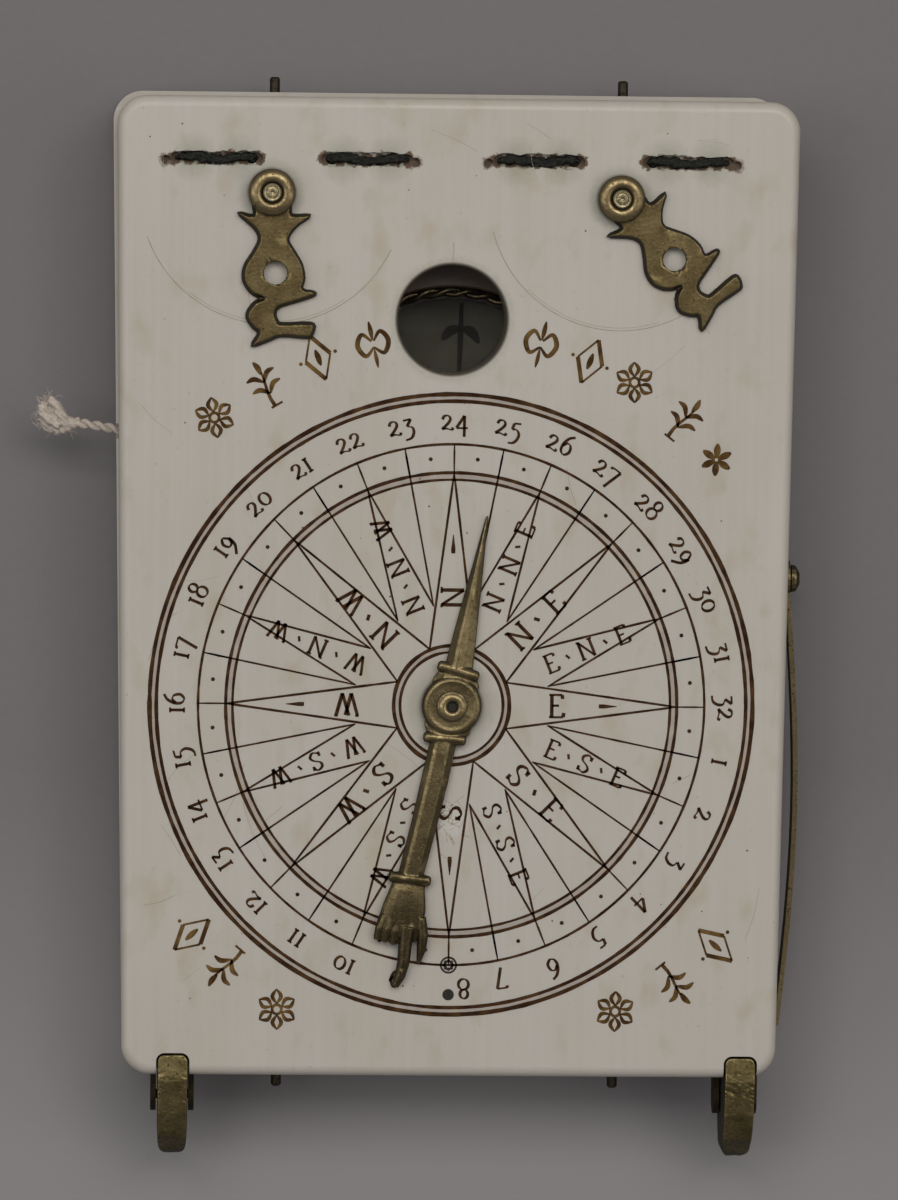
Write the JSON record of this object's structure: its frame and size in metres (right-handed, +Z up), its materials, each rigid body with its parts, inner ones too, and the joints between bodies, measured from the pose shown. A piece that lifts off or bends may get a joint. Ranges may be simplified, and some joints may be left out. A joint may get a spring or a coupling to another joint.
{
  "type": "pocket sundial",
  "caption": "Flat hinged ivory pocket sundial, closed, with a compass under a window, a wind rose with a hand pointer, swing levers and edge catches.",
  "frame": {"origin": "on the resting surface, under the middle of the leaves", "axes": "+Y towards the hinge edge, +X to the right when the wind rose is read from above, +Z up out of the lid's outer face"},
  "size_m": [0.0829, 0.1165, 0.0165],
  "materials": {
    "ivory": "polished ivory, slightly yellowed, with fine grain lines and brown-inked engraving",
    "brass": "old brass, brown patina, worn bright on its edges",
    "dark_wire": "nearly black tarnish",
    "steel": "blued steel",
    "card": "matt card with a painted arrow",
    "glass": "old clear glass",
    "thread": "off-white twisted cotton"
  },
  "bodies": {
    "base": {"lower_leaf": "ivory", "compass_card": "card", "compass_pivot": "brass", "compass_glass": "glass", "compass_ring": "brass", "hinge_lower_left": "brass", "hinge_lower_right": "brass", "hinge_pin_left": "brass", "hinge_pin_right": "brass", "lower_staple_1": "dark_wire", "lower_staple_2": "dark_wire", "lower_staple_3": "dark_wire", "lower_staple_4": "dark_wire", "hinge_edge_pin_left": "brass", "hinge_edge_pin_right": "brass", "free_edge_pin_left": "brass", "free_edge_pin_right": "brass", "catch_bracket_left": "brass", "catch_bracket_right": "brass", "catch_pin_left": "brass", "catch_pin_right": "brass", "side_arm_rivet": "brass", "gnomon_string": "thread", "string_knot": "thread", "string_peg": "brass"},
    "lid": {"upper_leaf": "ivory", "hinge_upper_left": "brass", "hinge_upper_right": "brass", "upper_staple_1": "dark_wire", "upper_staple_2": "dark_wire", "upper_staple_3": "dark_wire", "upper_staple_4": "dark_wire", "lever_washer_left": "brass", "lever_washer_right": "brass", "lever_rivet_left": "brass", "lever_rivet_right": "brass", "pointer_rivet": "brass", "pointer_washer": "brass"},
    "lever_left": {"lever_left": "brass"},
    "lever_right": {"lever_right": "brass"},
    "pointer": {"pointer": "brass"},
    "needle": {"compass_needle": "steel", "needle_cap": "brass"},
    "catch_left": {"catch_left": "brass"},
    "catch_right": {"catch_right": "brass"},
    "side_arm": {"side_arm": "brass"}
  },
  "joints": [
    {"name": "lid_open", "type": "hinge", "parent": "base", "child": "lid", "pos_m": [0, 0.0514, 0.00835], "axis": [-1, 0, 0], "range_deg": [0, 90]},
    {"name": "pointer_turn", "type": "hinge", "parent": "lid", "child": "pointer", "pos_m": [-0.0002, -0.0124, 0.01415], "axis": [0, 0, 1], "continuous": true},
    {"name": "lever_left_turn", "type": "hinge", "parent": "lid", "child": "lever_left", "pos_m": [-0.02, 0.0423, 0.01415], "axis": [0, 0, 1], "continuous": true},
    {"name": "lever_right_turn", "type": "hinge", "parent": "lid", "child": "lever_right", "pos_m": [0.0173, 0.042, 0.01415], "axis": [0, 0, 1], "continuous": true},
    {"name": "needle_swing", "type": "hinge", "parent": "base", "child": "needle", "pos_m": [-0.0003, 0.017, 0.0045], "axis": [0, 0, 1], "continuous": true},
    {"name": "catch_left_turn", "type": "hinge", "parent": "base", "child": "catch_left", "pos_m": [-0.0297, -0.0555, 0.006], "axis": [1, 0, 0], "range_deg": [0, 40]},
    {"name": "catch_right_turn", "type": "hinge", "parent": "base", "child": "catch_right", "pos_m": [0.0314, -0.0555, 0.006], "axis": [1, 0, 0], "range_deg": [0, 40]},
    {"name": "side_arm_swing", "type": "hinge", "parent": "base", "child": "side_arm", "pos_m": [0.0359, 0.001, 0.005], "axis": [-1, 0, 0], "range_deg": [0, 90]}
  ]
}
